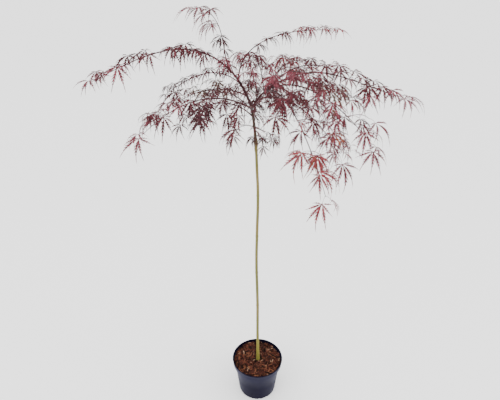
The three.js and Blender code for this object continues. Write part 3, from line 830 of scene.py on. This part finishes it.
def object_from(bm, name, material):
    """An object made from a bmesh, with smooth faces."""
    mesh = bpy.data.meshes.new(name)
    bm.to_mesh(mesh)
    bm.free()
    mesh.materials.append(material)
    mesh.polygons.foreach_set("use_smooth", np.full(len(mesh.polygons), True))
    return linked(name, mesh)


# Finishes

def started(name, colour, roughness, specular):
    """A material with even values, ready for its patterns, with its node tree and its shader."""
    material = bpy.data.materials.new(name)
    material.use_nodes = True
    shader = material.node_tree.nodes["Principled BSDF"]
    shader.inputs["Base Color"].default_value = (*colour, 1)
    shader.inputs["Roughness"].default_value = roughness
    shader.inputs["Specular IOR Level"].default_value = specular
    return material, material.node_tree, shader


def shaded(colour, share):
    return [value * share for value in colour]


def noise(tree, scale, detail, stretch=(1, 1, 1)):
    """A noise pattern on the object's own coordinates."""
    place = tree.nodes.new("ShaderNodeTexCoord")
    mapping = tree.nodes.new("ShaderNodeMapping")
    pattern = tree.nodes.new("ShaderNodeTexNoise")
    mapping.inputs["Scale"].default_value = stretch
    pattern.inputs["Scale"].default_value = scale
    pattern.inputs["Detail"].default_value = detail
    tree.links.new(place.outputs["Object"], mapping.inputs["Vector"])
    tree.links.new(mapping.outputs["Vector"], pattern.inputs["Vector"])
    return pattern.outputs["Fac"]


def ramp(tree, source, stops):
    """Colours laid along a pattern's values. stops are (value, colour)."""
    band = tree.nodes.new("ShaderNodeValToRGB")
    elements = band.color_ramp.elements
    elements.remove(elements[1])
    elements[0].position = stops[0][0]
    elements[0].color = (*stops[0][1], 1)
    for value, colour in stops[1:]:
        elements.new(value).color = (*colour, 1)
    tree.links.new(source, band.inputs["Fac"])
    return band.outputs["Color"]


def paint(tree, shader, pattern, stops):
    """The shader's colour, laid along a pattern's values."""
    tree.links.new(ramp(tree, pattern, stops), shader.inputs["Base Color"])


def blend(tree, kind, factor, first, second):
    """Two colours mixed. The factor and each colour are another node's output, or plain values."""
    node = tree.nodes.new("ShaderNodeMix")
    node.data_type = "RGBA"
    node.blend_type = kind
    feed(tree, node.inputs["Factor"], factor)
    feed(tree, node.inputs[6], first)
    feed(tree, node.inputs[7], second)
    return node.outputs[2]


def feed(tree, socket, value):
    """Gives a socket another node's output, a number or a colour."""
    if isinstance(value, bpy.types.NodeSocket):
        tree.links.new(value, socket)
    elif isinstance(value, (int, float)):
        socket.default_value = value
    else:
        socket.default_value = (*value, 1)


def span(tree, source, low, high, least, most):
    """A value that goes from least to most as the source goes from low to high."""
    node = tree.nodes.new("ShaderNodeMapRange")
    for socket, value in (("From Min", low), ("From Max", high), ("To Min", least), ("To Max", most)):
        node.inputs[socket].default_value = value
    tree.links.new(source, node.inputs["Value"])
    return node.outputs["Result"]


def uneven_sheen(tree, shader, source, limits):
    """Roughness that follows a pattern between two limits."""
    tree.links.new(span(tree, source, *MOST_NOISE, *limits), shader.inputs["Roughness"])


def bump(tree, shader, height, strength, distance):
    node = tree.nodes.new("ShaderNodeBump")
    node.inputs["Strength"].default_value = strength
    node.inputs["Distance"].default_value = distance
    tree.links.new(height, node.inputs["Height"])
    tree.links.new(node.outputs["Normal"], shader.inputs["Normal"])


def height_share(tree, low, high):
    """A value from 0 at one height to 1 at another, on the object's own coordinates."""
    place = tree.nodes.new("ShaderNodeTexCoord")
    split = tree.nodes.new("ShaderNodeSeparateXYZ")
    tree.links.new(place.outputs["Object"], split.inputs["Vector"])
    return span(tree, split.outputs["Z"], low, high, 0, 1)


def stem_bark(sizes):
    """Young bark: yellow-green at the foot, olive and tan further up, and dark above the graft."""
    material, tree, shader = started("stem_bark", sizes.bark_tan, roughness=0.5, specular=0.2)
    fork = STEM_ROUTE[-1][2] * MM
    grafted = GRAFT_UP / (fork - GROUND)
    along = height_share(tree, GROUND, fork)
    tan = ramp(tree, along, [
        (0, sizes.bark_foot), (0.12, sizes.bark_foot),
        (0.22, sizes.bark_tan), (grafted - 0.02, sizes.bark_tan),
        (grafted + 0.012, sizes.graft_brown), (grafted + 0.05, sizes.bark_young),
    ])
    green = ramp(tree, noise(tree, 9, 2, (1, 1, 0.7)), [(0.44, (0, 0, 0)), (0.58, (1, 1, 1))])
    low = span(tree, along, grafted - 0.06, grafted, 1, 0)
    patched = blend(tree, "MIX", low, tan, blend(tree, "MIX", green, tan, sizes.bark_green))
    streaks = noise(tree, 60, 4, (1, 1, 0.08))
    shade = ramp(tree, streaks, [(0.3, (0.66, 0.62, 0.55)), (0.7, (1, 1, 1))])
    streaked = blend(tree, "MULTIPLY", 0.9, patched, shade)
    scars = ramp(tree, noise(tree, 260, 2, (1, 1, 1.8)), [(0.64, (0, 0, 0)), (0.72, (1, 1, 1))])
    scarred = blend(tree, "MIX", scars, streaked, sizes.scar_pale)
    tree.links.new(scarred, shader.inputs["Base Color"])
    uneven_sheen(tree, shader, streaks, (0.42, 0.62))
    bump(tree, shader, streaks, strength=0.5, distance=0.6 * MM)
    return material


def shoot_bark(sizes):
    """Smooth dark bark of the boughs and their main shoots, a little redder in patches."""
    material, tree, shader = started("shoot_bark", sizes.shoot_dark, roughness=0.5, specular=0.12)
    paint(tree, shader, noise(tree, 35, 3), [(0.35, sizes.shoot_dark), (0.7, sizes.shoot_red)])
    grain = noise(tree, 500, 3)
    uneven_sheen(tree, shader, grain, (0.36, 0.55))
    bump(tree, shader, grain, strength=0.3, distance=0.2 * MM)
    return material


def leaf_skin(name, colour, roughness):
    """A thin matt leaf or its stalk: one tint, lighter and darker in patches that are partly its own uneven
    tone and partly painted light and shade, with an uneven sheen.
    """
    material, tree, shader = started(name, colour, roughness[1], specular=0.08)
    deep, light = (shaded(colour, share) for share in LEAF_MOTTLE_AND_SHADE)
    paint(tree, shader, noise(tree, 110, 3), [(0.38, deep), (0.62, light)])
    veins = noise(tree, 640, 3)
    uneven_sheen(tree, shader, veins, roughness)
    bump(tree, shader, veins, strength=0.35, distance=0.3 * MM)
    return material


def pot_plastic(sizes):
    """Satin nursery plastic with a faint grain, and a little dust in clouds."""
    material, tree, shader = started("pot_plastic", sizes.plastic, roughness=0.42, specular=0.04)
    shader.inputs["Sheen Weight"].default_value = 0.05
    shader.inputs["Sheen Roughness"].default_value = 0.4
    shader.inputs["Sheen Tint"].default_value = (0.4, 0.42, 1, 1)
    cloud = noise(tree, 14, 4)
    paint(tree, shader, cloud, [(0.4, sizes.plastic), (0.8, sizes.plastic_dust)])
    uneven_sheen(tree, shader, cloud, (0.4, 0.46))
    bump(tree, shader, noise(tree, 900, 2), strength=0.12, distance=0.2 * MM)
    return material


def bark_chip(tint, colour):
    """Broken bark with a fibrous grain."""
    material, tree, shader = started("chip_" + tint, colour, roughness=0.85, specular=0.08)
    fibres = noise(tree, 420, 4, (1, 1, 0.5))
    paint(tree, shader, fibres, [(0.35, shaded(colour, 0.55)), (0.6, colour)])
    uneven_sheen(tree, shader, fibres, (0.7, 0.95))
    bump(tree, shader, fibres, strength=0.8, distance=0.8 * MM)
    return material


def damp_mix(sizes):
    """Dark crumbly potting mix under the bark chips."""
    material, tree, shader = started("damp_mix", sizes.mix, roughness=0.9, specular=0.1)
    crumbs = noise(tree, 220, 5)
    paint(tree, shader, crumbs, [(0.35, shaded(sizes.mix, 0.35)), (0.65, sizes.mix)])
    uneven_sheen(tree, shader, crumbs, (0.7, 0.95))
    bump(tree, shader, crumbs, strength=0.9, distance=3 * MM)
    return material


# Settings that a user would change

def length(name, description, default):
    return bpy.props.FloatProperty(name=name, description=description, default=default, unit="LENGTH")


def colour(name, description, default):
    return bpy.props.FloatVectorProperty(
        name=name, description=description, default=default, size=3, min=0, max=1, subtype="COLOR",
    )


def count(name, description, default):
    return bpy.props.IntProperty(name=name, description=description, default=default, min=1)


class PotSettings(bpy.types.PropertyGroup):
    """Sizes and colours of the pot."""

    height: length("Height", "Height of the pot", 168 * MM)
    rim: length("Rim radius", "Outer radius of the rim", 105 * MM)
    collar_foot: length("Collar radius", "Outer radius at the foot of the collar", 102 * MM)
    shoulder: length("Shoulder radius", "Outer radius just under the collar", 94 * MM)
    foot: length("Foot radius", "Outer radius at the ground", 77 * MM)
    collar: length("Collar height", "Height of the collar under the rim", 25 * MM)
    ledge: length("Ledge height", "Height over which the collar steps in", 3 * MM)
    wall: length("Wall", "Thickness of the wall", 2 * MM)
    lip: length("Lip", "Thickness of the rim", 3.2 * MM)
    floor: length("Floor", "Thickness of the floor", 6.5 * MM)
    drain_depth: length("Groove depth", "Depth of the drainage grooves", 5 * MM)
    drain_width: length("Groove width", "Width of the drainage grooves", 13 * MM)
    drains: count("Grooves", "Number of drainage grooves under the edge", 8)
    segments: count("Segments", "Steps of the spin round the pot", 128)
    plastic: colour("Plastic", "Colour of the plastic", (0.0028, 0.002, 0.0088))
    plastic_dust: colour("Dusty plastic", "Colour where dust has settled", (0.0042, 0.0032, 0.012))


class MulchSettings(bpy.types.PropertyGroup):
    """Bark chips on the potting mix."""

    chips: count("Chips", "Number of bark chips tried", 2600)
    reach: length("Reach", "Radius of the layer of chips", 99.5 * MM)
    depth: length("Depth", "Depth of the layer of chips", 5.5 * MM)
    rise: length("Rise at the wall", "How much deeper the chips lie at the pot's wall", 3 * MM)
    longest: length("Longest chip", "Length of the longest chips", 23 * MM)
    shortest: length("Shortest chip", "Length of the shortest chips", 6 * MM)
    thickest: length("Thickest chip", "Thickness of the thickest chips", 3 * MM)
    mix: colour("Potting mix", "Colour of the damp mix", (0.012, 0.006, 0.004))
    dark: colour("Dark chips", "Colour of the damp chips", (0.014, 0.0055, 0.004))
    brown: colour("Brown chips", "Colour of most chips", (0.052, 0.017, 0.0115))
    russet: colour("Russet chips", "Colour of the redder chips", (0.095, 0.029, 0.018))
    orange: colour("Orange chips", "Colour of freshly broken chips", (0.17, 0.066, 0.034))
    # The pale chips are a painted highlight: whole chips in a pale tint that stand for light glinting on the
    # mulch.
    pale: colour("Pale chips", "Colour of the wood side of a chip", (0.27, 0.155, 0.1))


class WoodSettings(bpy.types.PropertyGroup):
    """Bark of the stem, the boughs and the shoots."""

    bark_foot: colour("Foot", "Yellow-green bark at the foot of the stem", (0.2, 0.18, 0.034))
    bark_green: colour("Green bark", "Green patches of the stem", (0.125, 0.124, 0.03))
    bark_tan: colour("Tan bark", "Olive-tan bark of the stem", (0.165, 0.128, 0.04))
    graft_brown: colour("Graft", "Rough brown bark at the graft", (0.06, 0.036, 0.014))
    bark_young: colour("Upper bark", "Dark bark above the graft", (0.03, 0.016, 0.011))
    scar_pale: colour("Scars", "Pale dots and scars in the bark", (0.27, 0.22, 0.11))
    shoot_dark: colour("Shoots", "Dark bark of the shoots", (0.02, 0.008, 0.0095))
    shoot_red: colour("Young shoots", "Redder patches of the shoots", (0.06, 0.014, 0.018))
    stalk: colour("Leaf stalks", "Colour of the leaf stalks", (0.085, 0.02, 0.024))
    node_gap: length("Node spacing", "Distance between the nodes of the stem", 82 * MM)
    ring_step: length("Ring step", "Distance between the rings of the stem's mesh", 3.5 * MM)
    sides: count("Sides", "Number of sides of the stem's mesh", 28)


class LeafSettings(bpy.types.PropertyGroup):
    """Tints of the leaves."""

    burgundy: colour("Burgundy", "Most leaves", (0.058, 0.014, 0.0175))
    # Plum is painted shade: a darker tint for the inner leaves that lie in shade.
    plum: colour("Plum", "Shaded inner leaves", (0.038, 0.0125, 0.015))
    # Rose is painted light: a lighter tint for the lit leaves on top of the crown and at the outer tips.
    rose: colour("Rose", "Leaves on top of the crown", (0.115, 0.03, 0.039))
    crimson: colour("Crimson", "Young leaves", (0.15, 0.029, 0.035))
    orange: colour("Orange", "The youngest leaves", (0.175, 0.048, 0.026))
    bronze: colour("Bronze", "Leaves that turn brown-green", (0.06, 0.028, 0.017))


class StageSettings(bpy.types.PropertyGroup):
    """Floor, light and camera."""

    floor_radius: length("Floor", "Radius of the floor", 30.0)
    floor_colour: colour("Floor colour", "Colour of the floor", (0.96, 0.96, 0.96))
    world_light: bpy.props.FloatProperty(
        name="Sky light", description="Strength of the even light from all round", default=2.4, min=0,
    )
    key_power: bpy.props.FloatProperty(
        name="Key light", description="Power of the large soft light", default=60, min=0, unit="POWER",
    )
    camera_place: bpy.props.FloatVectorProperty(
        name="Camera", description="Where the camera stands", default=(-0.0315, -1.36, 1.647), unit="LENGTH",
    )
    camera_pitch: bpy.props.FloatProperty(
        name="Camera pitch", description="How far the camera looks down",
        default=math.radians(28), subtype="ANGLE",
    )
    focal_share: bpy.props.FloatProperty(
        name="Focal length", description="As a share of the picture's width", default=445.8 / 500, min=0.1,
    )


# Operators: one for each piece or group of like pieces

class BuildPot(bpy.types.Operator):
    """Spin the pot with its collar, thin wall, rim and drainage grooves"""

    bl_idname = "maple.build_pot"
    bl_label = "Pot"

    def execute(self, context):
        sizes = context.scene.maple_pot
        bm = bmesh.new()
        outline = [bm.verts.new((r, 0, z)) for r, z in self.profile(sizes)]
        edges = [bm.edges.new(pair) for pair in zip(outline, outline[1:])]
        bmesh.ops.spin(
            bm, geom=outline + edges, cent=(0, 0, 0), axis=(0, 0, 1), angle=2 * math.pi,
            steps=sizes.segments, use_merge=True,
        )
        bmesh.ops.remove_doubles(bm, verts=bm.verts[:], dist=MERGE)
        self.press_grooves(bm, sizes)
        bmesh.ops.recalc_face_normals(bm, faces=bm.faces[:])
        piece = object_from(bm, "nursery_pot", pot_plastic(sizes))
        piece.data.set_sharp_from_angle(angle=math.radians(50))
        settle(piece, "pot_plastic", "pot")
        return {"FINISHED"}

    @staticmethod
    def profile(sizes):
        """From the middle of the underside, up the outside, over the rim and down to the floor inside."""
        ledge = sizes.height - sizes.collar - sizes.ledge
        over_ledge = ledge + sizes.ledge

        def wall_at(z):
            return mix(sizes.foot, sizes.shoulder, z / ledge)

        step = (sizes.collar_foot - sizes.shoulder) * POT_EDGE["ledge_share"]
        lip_foot = sizes.height - sizes.lip
        inside = sizes.rim - sizes.lip
        edge = POT_EDGE["rim"]
        brim = POT_EDGE["brim"]
        return [
            (0, 0), *((sizes.foot - inwards * MM, up * MM) for inwards, up in POT_FOOT),
            *((wall_at(up), up) for up in (*POT_RINGS, ledge / 2)),
            (sizes.shoulder, ledge - POT_EDGE["under_ledge"]),
            (sizes.shoulder + step, ledge + POT_EDGE["over_ledge"]),
            (sizes.collar_foot - step, over_ledge - edge), (sizes.collar_foot, over_ledge + edge),
            (sizes.rim - edge, lip_foot), (sizes.rim, lip_foot + edge),
            (sizes.rim, sizes.height - edge), (sizes.rim - edge, sizes.height),
            (inside + brim, sizes.height), (inside, sizes.height - brim), (inside, lip_foot),
            (sizes.collar_foot - sizes.wall, over_ledge), (sizes.shoulder - sizes.wall, ledge),
            (wall_at(sizes.floor) - sizes.wall, sizes.floor), (0, sizes.floor),
        ]

    @staticmethod
    def press_grooves(bm, sizes):
        """Lifts the underside's edge in the drainage grooves."""
        for v in bm.verts:
            radius = math.hypot(v.co.x, v.co.y)
            if v.co.z > sizes.drain_depth or radius < sizes.foot - GROOVE_REACH:
                continue
            turn = math.atan2(v.co.y, v.co.x) / (2 * math.pi) * sizes.drains + 0.5
            off = abs(turn - round(turn)) * 2 * math.pi * radius / sizes.drains
            if off < sizes.drain_width / 2:
                v.co.z = max(v.co.z, sizes.drain_depth)


class BuildMulch(bpy.types.Operator):
    """Scatter bark chips in layers over the potting mix"""

    bl_idname = "maple.build_mulch"
    bl_label = "Bark mulch"

    def execute(self, context):
        sizes = context.scene.maple_mulch
        random = np.random.default_rng(SEEDS["mulch"])
        shapes = [self.chip(random) for _ in range(CHIP["shapes"])]
        materials = [bark_chip(tint, getattr(sizes, tint)) for tint in CHIP_TINTS]
        parts = []
        for k in range(sizes.chips):
            shape = shapes[random.integers(len(shapes))]
            parts += self.laid(shape, k / sizes.chips, sizes, random)
        indices = random.choice(len(CHIP_TINTS), len(parts), p=list(CHIP_TINTS.values()))
        piece = joined("bark_chips", parts, materials, indices, smooth=False)
        settle(piece, "bark_mulch")
        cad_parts["potting_mix"].data.materials.clear()
        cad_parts["potting_mix"].data.materials.append(damp_mix(sizes))
        return {"FINISHED"}

    @staticmethod
    def laid(shape, level, sizes, random):
        """An almost flat chip at a level from 0 to 1 of the layer, or none where the wall or stem is."""
        long = mix(sizes.shortest, sizes.longest, random.random() ** 2)
        wide = long * random.uniform(*CHIP["width"])
        thick = min(long * random.uniform(*CHIP["thickness"]), sizes.thickest)
        share = math.sqrt(random.random())
        middle = heading(random.uniform(0, 360), 0) * share * sizes.reach
        turn = random.uniform(0, 360)
        pitch = Matrix.Rotation(random.normal(0, CHIP["pitch"]), 3, "Y")
        roll = Matrix.Rotation(random.normal(0, CHIP["roll"]), 3, "X")
        across = [heading(turn, 0), heading(turn + 90, 0)]
        from_stem = middle - np.array([STEM_ROUTE[0][0] * MM, 0, 0])
        gap = np.abs(across @ from_stem) - np.array([long, wide]) / 2
        bed = mix(MULCH_TOP, MULCH_EDGE, share**2)
        middle[2] = bed + level * (sizes.depth + sizes.rise * share**4) + thick / 2
        turned = np.array(Matrix.Rotation(math.radians(turn), 3, "Z") @ (pitch @ roll))
        places = shape[0] * (long, wide, thick) @ turned.T + middle
        at_wall = np.hypot(places[:, 0], places[:, 1]).max() > sizes.reach
        at_stem = np.linalg.norm(np.maximum(gap, 0)) < STEM["flare"] + CHIP["off_stem"]
        return [] if at_wall or at_stem else [(places, shape[1])]

    @staticmethod
    def chip(random):
        """A chip of bark one unit long: a block with cut edges, tapered and split unevenly."""
        bm = bmesh.new()
        bmesh.ops.create_cube(bm, size=1)
        bmesh.ops.bevel(
            bm, geom=bm.edges[:], offset=CHIP["cut"], offset_type="OFFSET", affect="EDGES", segments=1,
            profile=0.5, material=-1,
        )
        for v in bm.verts:
            v.co.y *= 1 - CHIP["taper"] * abs(v.co.x) * random.random()
            v.co.z *= within(CHIP["rough"], random.random())
            v.co.x *= within(CHIP["split"], random.random())
        return template(bm)


class BuildStem(bpy.types.Operator):
    """Raise the stem with its root flare, nodes, graft and bark"""

    bl_idname = "maple.build_stem"
    bl_label = "Stem"

    def execute(self, context):
        sizes = context.scene.maple_wood
        stem, _ = grow()
        length_up = stem.path.length
        shares = even_shares(stem.path, 0, 1, sizes.ring_step)
        up = shares * length_up
        angle = np.arange(sizes.sides) * 2 * math.pi / sizes.sides
        radii = stem_radius(up, length_up)[:, None] + self.relief(up, angle, sizes, length_up)
        part = rod(stem.path, stem.side, shares, radii, sizes.sides)
        piece = joined("stem_bark_relief", [part], [stem_bark(sizes)])
        settle(piece, "stem_bark", "stem")
        return {"FINISHED"}

    @staticmethod
    def relief(up, angle, sizes, length_up):
        """Nodes with their bud scars in turn, root ridges at the foot, and rough bark at the graft."""
        up = up[:, None]
        angle = angle[None]

        def wave(turns, rise):
            return np.sin(turns * angle + up / rise)

        node = up / sizes.node_gap + RELIEF["under_foot"]
        from_node = (node - np.round(node)) * sizes.node_gap
        bud = np.maximum(np.cos(2 * angle - np.round(node) * math.pi), 0) ** 3
        nodes = bell(from_node, RELIEF["node_run"]) * (RELIEF["node"] + RELIEF["bud"] * bud)
        knots = wave(*RELIEF["knot_waves"][0]) * wave(*RELIEF["knot_waves"][1])
        rough = RELIEF["knot"] * bell(up - GRAFT_UP, RELIEF["knot_run"]) * knots
        waves = RELIEF["wave"] * wave(*RELIEF["wave_form"]) + RELIEF["ripple"] * wave(*RELIEF["ripple_form"])
        roots = np.cos(RELIEF["ridge_count"] * angle + RELIEF["ridge_turn"]) - RELIEF["ridge_sink"]
        ridges = RELIEF["ridge"] * np.exp(-up / STEM["flare_height"]) * roots
        end = np.clip((length_up - up) / RELIEF["fade"], 0, 1)
        return (nodes + waves + rough) * end + ridges


class BuildBoughs(bpy.types.Operator):
    """Grow the boughs, each in one with its main shoot, thicker at its foot and at its nodes"""

    bl_idname = "maple.build_boughs"
    bl_label = "Boughs and main shoots"

    def execute(self, context):
        _, arms = grow()
        parts = [self.bough(arm) for arm in arms]
        piece = joined("boughs_bark_relief", parts, [shoot_bark(context.scene.maple_wood)])
        nodes = [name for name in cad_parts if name.endswith("_bough")] + ["leader"]
        settle(piece, "shoot_bark", *sorted(nodes))
        return {"FINISHED"}

    @staticmethod
    def bough(arm):
        """A rod with rings close together, and a swelling at its foot and at each node."""
        shares = even_shares(arm.path, 0, 1, BOUGH["ring_step"])
        run = shares * arm.path.length
        swell = BOUGH["foot_swell"] * np.exp(-run / BOUGH["foot_run"])
        nodes = arm.main.node_shares()[:-1] if arm.pairs else BOUGH["bare_nodes"]
        for share in nodes:
            swell = swell + BOUGH["node_swell"] * bell(run - share * arm.path.length, BOUGH["node_run"])
        radii = arm.main.radius(shares) * (1 + swell)
        return rod(arm.path, arm.main.side, shares, radii, BOUGH["sides"])


class BuildTwigs(bpy.types.Operator):
    """Grow the twigs, spurs and leaf stalks"""

    bl_idname = "maple.build_twigs"
    bl_label = "Twigs and leaf stalks"

    def execute(self, context):
        sizes = context.scene.maple_wood
        _, arms = grow()
        twigs = [self.twig(shoot) for arm in arms for shoot in arm.shoots[1:]]
        stalks = [stalk_geometry(leaf) for arm in arms for leaf in arm.leaves]
        plain_bark = bpy.data.materials["shoot_bark"]  # the even bark that the solids came with
        stalk_skin = leaf_skin("leaf_stalk", sizes.stalk, (0.4, 0.6))
        indices = [0] * len(twigs) + [1] * len(stalks)
        piece = joined("twigs_and_stalks", twigs + stalks, [plain_bark, stalk_skin], indices)
        settle(piece, "shoot_bark")
        return {"FINISHED"}

    @staticmethod
    def twig(shoot):
        shares = even_shares(shoot.path, 0, 1, TWIG["ring_step"])
        return rod(shoot.path, shoot.side, shares, shoot.radius(shares), TWIG["sides"])


class BuildLeaves(bpy.types.Operator):
    """Hang the dissected leaves of every mass, tinted by spray"""

    bl_idname = "maple.build_leaves"
    bl_label = "Leaves"

    def execute(self, context):
        sizes = context.scene.maple_leaf
        materials = [leaf_skin("leaf_" + tint, getattr(sizes, tint), (0.5, 0.75)) for tint in TINTS]
        _, arms = grow()
        for arm in arms:
            if not arm.leaves:
                continue
            roll = dice(arm.number + SEEDS["leaves"])
            parts = [leaf_geometry(leaf, roll) for leaf in arm.leaves]
            indices = [TINTS.index(leaf.tint) for leaf in arm.leaves]
            piece = joined(arm.name + "_foliage", parts, materials, indices)
            settle(piece, "leaf", arm.name + "_leaves")
        return {"FINISHED"}


class BuildStage(bpy.types.Operator):
    """Lay the pale floor, set the soft lights and place the camera"""

    bl_idname = "maple.build_stage"
    bl_label = "Stage"

    def execute(self, context):
        sizes = context.scene.maple_stage
        bm = bmesh.new()
        bmesh.ops.create_circle(bm, cap_ends=True, segments=96, radius=sizes.floor_radius)
        finish, _, _ = started("studio_floor", sizes.floor_colour, roughness=0.9, specular=0.1)
        object_from(bm, "studio_floor", finish)
        world = bpy.data.worlds.new("studio_light")
        world.use_nodes = True
        background = world.node_tree.nodes["Background"]
        background.inputs["Color"].default_value = (1, 1, 1, 1)
        background.inputs["Strength"].default_value = sizes.world_light
        context.scene.world = world
        for name, place, side, share in LIGHTS:
            self.light(name, place, side, sizes.key_power * share)
        camera = linked("photo_camera", bpy.data.cameras.new("photo_camera"))
        camera.data.sensor_width = SENSOR
        camera.data.lens = SENSOR * sizes.focal_share
        camera.location = sizes.camera_place
        camera.rotation_euler = (math.pi / 2 - sizes.camera_pitch, 0, 0)
        context.scene.camera = camera
        return {"FINISHED"}

    @staticmethod
    def light(name, place, side, power):
        """A square soft light that faces the crown."""
        lamp = linked(name, bpy.data.lights.new(name, "AREA"))
        lamp.data.size = side
        lamp.data.energy = power
        lamp.location = place
        aim = Vector(CROWN) - lamp.location
        lamp.rotation_euler = aim.to_track_quat("-Z", "Y").to_euler()


class MaplePanel(bpy.types.Panel):
    """The sidebar's list of the maple's pieces."""

    bl_idname = "VIEW3D_PT_maple"
    bl_label = "Potted weeping maple"
    bl_space_type = "VIEW_3D"
    bl_region_type = "UI"
    bl_category = "Maple"

    def draw(self, context):
        for operator in OPERATORS:
            self.layout.operator(operator.bl_idname)
        for settings in SETTINGS:
            box = self.layout.box()
            for name in SETTINGS[settings].__annotations__:
                box.prop(getattr(context.scene, settings), name)


SETTINGS = {
    "maple_pot": PotSettings,
    "maple_mulch": MulchSettings,
    "maple_wood": WoodSettings,
    "maple_leaf": LeafSettings,
    "maple_stage": StageSettings,
}
OPERATORS = (BuildPot, BuildMulch, BuildStem, BuildBoughs, BuildTwigs, BuildLeaves, BuildStage)


def register():
    for name, group in SETTINGS.items():
        bpy.utils.register_class(group)
        setattr(bpy.types.Scene, name, bpy.props.PointerProperty(type=group))
    for operator in OPERATORS:
        bpy.utils.register_class(operator)
    bpy.utils.register_class(MaplePanel)


def unregister():
    bpy.utils.unregister_class(MaplePanel)
    for operator in reversed(OPERATORS):
        bpy.utils.unregister_class(operator)
    for name, group in SETTINGS.items():
        delattr(bpy.types.Scene, name)
        bpy.utils.unregister_class(group)


def main():
    register()
    bpy.ops.maple.build_pot()
    bpy.ops.maple.build_mulch()
    bpy.ops.maple.build_stem()
    bpy.ops.maple.build_boughs()
    bpy.ops.maple.build_twigs()
    bpy.ops.maple.build_leaves()
    bpy.ops.maple.build_stage()


if __name__ == "__main__":
    main()
